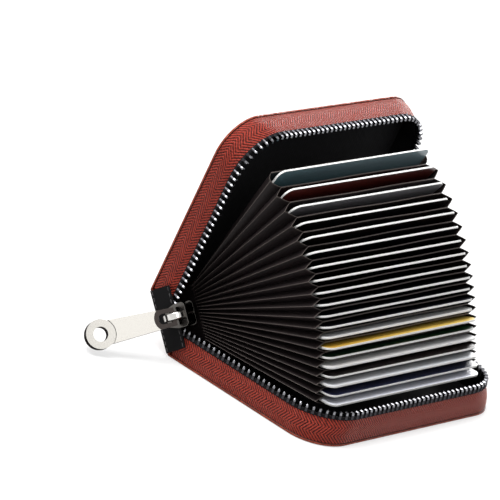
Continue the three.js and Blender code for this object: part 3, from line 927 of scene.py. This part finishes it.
def pocket_fold(k):
    """The folds at the two ends of pocket k, with their ridges at the level of its card."""
    def line(i):
        fold = Vector((FOLD_X, 0, LEAF_Z + i * PITCH))
        a = math.radians(leaf_turn(i))
        out = Vector((math.cos(a), 0, math.sin(a)))
        down = Vector((math.sin(a), 0, -math.cos(a)))
        return lambda s: fold + s * out + sag(i, s) * down

    ridge, bow = (RIDGE, FOLD_BOW) if k < CARDS else (TOP_RIDGE, TOP_BOW)
    fold = pleat(f"pocket_fold_{k:02d}", line(k - 1), line(k), ridge, bow, SPINE)
    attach(fold, f"leaf_{k - 1:02d}")
    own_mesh(fold)
    if k == 1:
        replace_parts(fold, "near_gusset", "far_gusset")


def glued_base():
    """The block of glued leaf ends on the spine, without painted highlights."""
    base = block("glued_base", *BASE)
    round_edges(base, sharp, BASE_ROUND, 2)
    finished(base, SPINE, [FILM])
    mark_painted_highlight(base, lambda p: False)
    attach(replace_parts(base, "pocket_base"), "spine")


# Cards, lowest first: print colour at the slider's end and at the far end
CARD_PRINTS = (
    ("#eaebf3", "#dee0ec"), ("#171a3a", "#10142e"), ("#e6e6ea", "#d6dade"), ("#1c1716", "#2b201f"),
    ("#f3efec", "#ecebee"), ("#0d2a1c", "#123a26"), ("#c89a2c", "#e0c060"), ("#efeff2", "#f4f4f4"),
    ("#14141c", "#1a1722"), ("#1d2128", "#161a22"), ("#141618", "#1b1d20"), ("#10201f", "#162424"),
    ("#17171a", "#1c1c1f"), ("#1a1614", "#211b18"), ("#15151a", "#1a1a20"), ("#1e1512", "#241a16"),
    ("#161414", "#1d1a1a"), ("#6e6b70", "#8d8b90"), ("#5a1f18", "#471611"), ("#4f737c", "#7f9aa2"),
)


def card(k):
    """A card with round corners and white core edges, where its solid lies on its leaf."""
    place = leaf_frame(k - 1)
    to_leaf = (TO_METRES @ place).inverted()
    front = max((to_leaf @ v.co).x for v in frame["nodes"][f"card_{k:02d}"].data.vertices)
    half = CARD_LENGTH / 2
    piece = block(f"card_{k:02d}_vinyl", (front - CARD_DEPTH, -half, CARD_LOW), (front, half, CARD_TOP))
    round_edges(piece, upright, CARD_CORNER, 8)
    round_edges(piece, sharp, CARD_ROUND, 2)
    for face in piece.data.polygons:
        face.material_index = int(abs(face.normal.z) < 0.95)
    print_face = card_plastic(f"card_print_{k:02d}", *CARD_PRINTS[k - 1])
    finished(piece, place, [print_face, CARD_EDGE])
    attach(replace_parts(piece, f"card_{k:02d}"), f"card_{k:02d}")


# Slider and pull tab

def slider_plate(low, high):
    """A plate from low to high across the tape, waisted toward its narrow end and round at its nose."""
    def at_nose(edge):
        a, b = edge.verts
        return abs(a.co.y - b.co.y) > 0.5 and a.co.x > PLATE_HALF_LENGTH - 1

    plate = block("plate", (-PLATE_HALF_LENGTH, low, -PLATE_HALF_WIDTH),
                  (PLATE_HALF_LENGTH, high, PLATE_HALF_WIDTH))
    alone(plate)
    bpy.ops.object.mode_set(mode="EDIT")
    bpy.ops.mesh.select_all(action="SELECT")
    bpy.ops.mesh.bisect(plane_co=(0, 0, 0), plane_no=(1, 0, 0))
    choose(plate, "faces", lambda f: f.normal.x < -0.9)
    bpy.ops.transform.resize(value=(1, 1, PLATE_TAPER), center_override=(0, 0, 0))
    bpy.ops.object.mode_set(mode="OBJECT")
    round_edges(plate, at_nose, PLATE_NOSE, 5)
    round_edges(plate, sharp, PLATE_ROUND, 2)
    return plate


def slider_plates():
    """Two plates, one on each side of the teeth, joined by a post whose brighter metal is a painted
    highlight.
    """
    plates = [slider_plate(low, high) for low, high in PLATES]
    post = block("post", *POST)
    round_edges(post, sharp, POST_ROUND, 2)
    post_faces = len(post.data.polygons)
    alone(post)
    for plate in plates:
        plate.select_set(True)
    bpy.ops.object.join()
    post.name = "slider_plates"
    # The post gets the brighter nickel: painted highlight.
    for face in post.data.polygons:
        face.material_index = int(face.index < post_faces)
    finished(post, SLIDER, [SLIDER_METAL, HIGHLIGHT_NICKEL])
    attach(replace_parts(post, "slider_body"), "slider")


def slider_hook():
    """A bow on the outer plate that holds the pull tab."""
    bpy.ops.object.select_all(action="DESELECT")
    bpy.ops.mesh.primitive_cylinder_add(vertices=40, radius=1, depth=HOOK_WIDTH, end_fill_type="NOTHING",
                                        location=(0, HOOK_Y, 0), scale=(*HOOK_RADII, 1))
    hook = added("slider_hook")
    alone(hook)
    bpy.ops.object.mode_set(mode="EDIT")
    bpy.ops.mesh.select_all(action="SELECT")
    bpy.ops.mesh.bisect(plane_co=(0, HOOK_FOOT_Y, 0), plane_no=(0, 1, 0), clear_outer=True)
    bpy.ops.object.mode_set(mode="OBJECT")
    modify(hook, "SOLIDIFY", thickness=HOOK_THICK, offset=0)
    round_edges(hook, sharp, HOOK_ROUND, 3)
    # The hook is in the brighter nickel: painted highlight.
    finished(hook, SLIDER, [HIGHLIGHT_NICKEL])
    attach(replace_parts(hook, "slider_bridge"), "slider")


def pull_tab():
    """A wedge arm with a slotted eye at the hook and a thick ring at its free end, with painted shade on its
    sides and in its eye.
    """
    arm = block("pull_tab_arm", (ARM_ROOT, -0.5, -0.5), (RING_AT, 0.5, 0.5))
    alone(arm)
    bpy.ops.object.mode_set(mode="EDIT")
    bpy.ops.mesh.select_all(action="SELECT")
    bpy.ops.mesh.bisect(plane_co=(RING_AT - RING, 0, 0), plane_no=(1, 0, 0))
    bpy.ops.object.mode_set(mode="OBJECT")
    for vertex in arm.data.vertices:
        share = min(max(vertex.co.x / RING_AT, 0), 1)
        vertex.co.y *= ARM_WIDTH + ARM_WIDENS * share
        vertex.co.z *= ARM_THICK + ARM_THICKENS * share
    for side in (-1, 1):
        recess_at = (EYE_AT, 0, side * (EYE_THICK + CUTTER) / 2)
        combined(arm, cylinder("recess", 48, EYE_RECESS, CUTTER, recess_at), "DIFFERENCE")
    slot = block("slot", *EYE_SLOT)
    round_edges(slot, lambda e: upright(e) and e.verts[0].co.x > EYE_AT, EYE_SLOT_ROUND, 6)
    combined(arm, slot, "DIFFERENCE")
    for side in (-1, 1):
        groove_at = (RING_AT, 0, side * (GROOVE_FLOOR + CUTTER / 2))
        combined(arm, cylinder("groove", 64, RING + GROOVE, CUTTER, groove_at), "DIFFERENCE")
    combined(arm, cylinder("ring", 64, RING, RING_THICK, (RING_AT, 0, 0)), "UNION")
    combined(arm, cylinder("hole", 48, RING_HOLE, 2 * RING_THICK, (RING_AT, 0, 0)), "DIFFERENCE")
    modify(arm, "BEVEL", width=TAB_ROUND, segments=3, limit_method="ANGLE", angle_limit=math.radians(40))
    # Side walls, groove walls and the eye's recess get the darker nickel: painted shade.
    for face in arm.data.polygons:
        in_eye = face.center.x < EYE_AT + EYE_RECESS and abs(face.center.z) < EYE_THICK / 2 + 0.02
        face.material_index = int(in_eye or abs(face.normal.z) < 0.5)
    lay_back = Matrix(((-1, 0, 0, SLIDER_X), (0, 0, 1, TAB_AXIS_Y), (0, 1, 0, MID), (0, 0, 0, 1)))
    swing = turned((SLIDER_X, TAB_AXIS_Y, MID), TAB_OUT, "Z")
    finished(arm, SPINE @ swing @ lay_back, [NICKEL, SHADED_NICKEL], smooth=30)
    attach(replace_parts(arm, "pull_tab"), "pull_tab")


for cover_name, cover_place, cover_body in COVERS:
    cover_skin(cover_name, cover_place, cover_body)
    cover_seam(cover_name, cover_place, cover_body)
    cover_lining(cover_name, cover_place, cover_body)
    crease(f"{cover_name}_crease", cover_place, cover_body)
    zip_tape(cover_name, cover_place, cover_body)
    zip_teeth(cover_name, cover_place, cover_body)
spine_panels()
end_tab("near_end_tab", -1)
end_tab("far_end_tab", 1)
glued_base()
for leaf_number in range(CARDS + 1):
    leaf_sheet(leaf_number)
for pocket in range(1, CARDS + 1):
    pocket_fold(pocket)
    card(pocket)
slider_plates()
slider_hook()
pull_tab()


# Camera, floor and light

def floor():
    """Pale floor that takes soft shadows and looks white, also in what mirrors it."""
    bpy.ops.object.select_all(action="DESELECT")
    bpy.ops.mesh.primitive_plane_add(size=FLOOR_SIZE, location=(0, 0, FLOOR_Z))
    ground = added("floor")
    material, tree, shader = started("pale_floor", Roughness=0.9, Base_Color=linear("#a6a6a6"),
                                     Specular_IOR_Level=0.1, Emission_Color=linear("#ffffff"))
    path = add(tree, "ShaderNodeLightPath")
    seen = add(tree, "ShaderNodeMath", {0: path.outputs["Is Camera Ray"], 1: path.outputs["Is Glossy Ray"]},
               operation="MAXIMUM")
    glow = add(tree, "ShaderNodeMath", {0: seen.outputs[0], 1: FLOOR_GLOW}, operation="MULTIPLY")
    tree.links.new(glow.outputs[0], shader.inputs["Emission Strength"])
    ground.data.materials.append(material)


def softbox(name, place, target, size, power):
    lamp = bpy.data.lights.new(name, "AREA")
    lamp.size = size
    lamp.energy = power
    holder = bpy.data.objects.new(name, lamp)
    holder.location = place
    holder.rotation_euler = (Vector(target) - Vector(place)).to_track_quat("-Z", "Y").to_euler()
    bpy.context.scene.collection.objects.link(holder)


def sky():
    """White where it is seen or mirrored. As a light it is dim at the horizon and brighter overhead."""
    world = bpy.data.worlds.new("studio")
    world.use_nodes = True
    tree = world.node_tree
    path = add(tree, "ShaderNodeLightPath")
    seen = path.outputs["Is Camera Ray"]
    for ray in ("Is Glossy Ray", "Is Transmission Ray"):
        seen = add(tree, "ShaderNodeMath", {0: seen, 1: path.outputs[ray]}, operation="MAXIMUM").outputs[0]
    up = add(tree, "ShaderNodeSeparateXYZ", {0: add(tree, "ShaderNodeTexCoord").outputs["Generated"]})
    glow = add(tree, "ShaderNodeMapRange", {"Value": up.outputs["Z"], "To Min": HORIZON_GLOW,
                                            "To Max": ZENITH_GLOW})
    strength = add(tree, "ShaderNodeMix", {"Factor": seen, "A": glow.outputs[0], "B": 1.0})
    backdrop = tree.nodes["Background"]
    backdrop.inputs["Color"].default_value = linear("#ffffff")
    tree.links.new(strength.outputs[0], backdrop.inputs["Strength"])
    bpy.context.scene.world = world


def camera():
    """The photograph's view: a long lens from the opening side, above and to the near end, leaning over."""
    right = Vector(CAMERA_RIGHT).normalized()
    back = Vector(CAMERA_BACK).normalized()
    up = back.cross(right).normalized()
    lens = bpy.data.cameras.new("camera")
    lens.lens = CAMERA_LENS
    lens.sensor_width = CAMERA_SENSOR
    lens.clip_end = CAMERA_REACH
    holder = bpy.data.objects.new("camera", lens)
    place = Vector(CAMERA_AT) + right * CAMERA_SHIFT[0] + up * CAMERA_SHIFT[1]
    holder.matrix_world = Matrix.Translation(place) @ Matrix((right, up, back)).transposed().to_4x4()
    bpy.context.scene.collection.objects.link(holder)
    bpy.context.scene.camera = holder


floor()
sky()
softbox("key", **KEY)
softbox("rear", **REAR)
softbox("front", **FRONT_FILL)
camera()
bpy.context.scene.view_settings.view_transform = "Standard"
